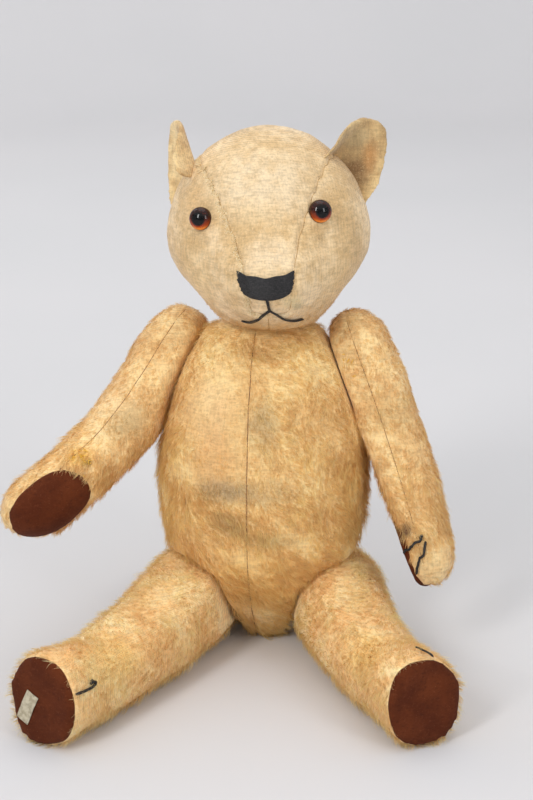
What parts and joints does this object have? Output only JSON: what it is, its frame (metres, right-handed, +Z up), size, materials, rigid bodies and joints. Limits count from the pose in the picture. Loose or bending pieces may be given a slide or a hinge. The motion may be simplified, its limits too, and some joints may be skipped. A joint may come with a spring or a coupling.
{
  "type": "jointed teddy bear",
  "caption": "Seated vintage teddy bear in worn golden mohair, with disc-jointed head, arms and legs, felt pads, glass eyes and stitched features.",
  "frame": {"origin": "the seat mount, on the flat patch under the body: the bear sits on Z = 0", "axes": "+Z up, -Y the way the bear faces, +X the bear's left"},
  "size_m": [0.3525, 0.3046, 0.4152],
  "materials": {
    "body_mohair": "matte golden pile, worn",
    "head_mohair": "matte pale pile, nearly bald",
    "felt": "matte felt",
    "thread": "satin",
    "glass": "polished",
    "stuffing": "loose fibre",
    "card": "matte",
    "steel": "satin",
    "label": "matte tape"
  },
  "bodies": {
    "torso": {"body_panel_left": "body_mohair", "body_panel_right": "body_mohair", "body_stuffing": "stuffing", "neck_body_disc": "card", "neck_body_washer": "steel", "neck_cotter_pin": "steel", "shoulder_left_body_disc": "card", "shoulder_left_body_washer": "steel", "shoulder_left_cotter_pin": "steel", "shoulder_right_body_disc": "card", "shoulder_right_body_washer": "steel", "shoulder_right_cotter_pin": "steel", "hip_left_body_disc": "card", "hip_left_body_washer": "steel", "hip_left_cotter_pin": "steel", "hip_right_body_disc": "card", "hip_right_body_washer": "steel", "hip_right_cotter_pin": "steel"},
    "head": {"head_side_left": "head_mohair", "head_side_right": "head_mohair", "head_gusset": "head_mohair", "head_stuffing": "stuffing", "ear_left_front": "head_mohair", "ear_left_back": "head_mohair", "eye_left": "glass", "ear_right_front": "head_mohair", "ear_right_back": "head_mohair", "eye_right": "glass", "nose_and_mouth_stitching": "thread", "neck_limb_disc": "card", "neck_limb_washer": "steel"},
    "arm_left": {"arm_left_outer": "body_mohair", "arm_left_inner": "body_mohair", "paw_pad_left": "felt", "arm_left_stuffing": "stuffing", "paw_claws_left": "thread", "shoulder_left_limb_disc": "card", "shoulder_left_limb_washer": "steel"},
    "leg_left": {"leg_left_cover": "body_mohair", "foot_pad_left": "felt", "leg_left_stuffing": "stuffing", "insole_left": "card", "foot_claws_left": "thread", "hip_left_limb_disc": "card", "hip_left_limb_washer": "steel"},
    "arm_right": {"arm_right_outer": "body_mohair", "arm_right_inner": "body_mohair", "paw_pad_right": "felt", "arm_right_stuffing": "stuffing", "paw_claws_right": "thread", "shoulder_right_limb_disc": "card", "shoulder_right_limb_washer": "steel"},
    "leg_right": {"leg_right_cover": "body_mohair", "foot_pad_right": "felt", "leg_right_stuffing": "stuffing", "insole_right": "card", "foot_claws_right": "thread", "foot_label": "label", "hip_right_limb_disc": "card", "hip_right_limb_washer": "steel"}
  },
  "joints": [
    {"name": "neck", "type": "hinge", "parent": "torso", "child": "head", "pos_m": [0, 0.01455, 0.25754], "axis": [0, 0.0872, 0.9962], "range_deg": [-75, 40]},
    {"name": "shoulder_left", "type": "hinge", "parent": "torso", "child": "arm_left", "pos_m": [0.0535, 0.01202, 0.22865], "axis": [-0.9259, -0.081, -0.369], "range_deg": [-115, 85]},
    {"name": "shoulder_right", "type": "hinge", "parent": "torso", "child": "arm_right", "pos_m": [-0.057, 0.01202, 0.22865], "axis": [-0.9285, 0.2878, 0.2346], "range_deg": [-135, 70]},
    {"name": "hip_left", "type": "hinge", "parent": "torso", "child": "leg_left", "pos_m": [0.0225, -0.002, 0.037], "axis": [-0.9727, -0.1541, 0.1736], "range_deg": [-95, 0]},
    {"name": "hip_right", "type": "hinge", "parent": "torso", "child": "leg_right", "pos_m": [-0.0225, -0.018, 0.037], "axis": [-0.9727, 0.1541, -0.1736], "range_deg": [-88, 0]}
  ]
}
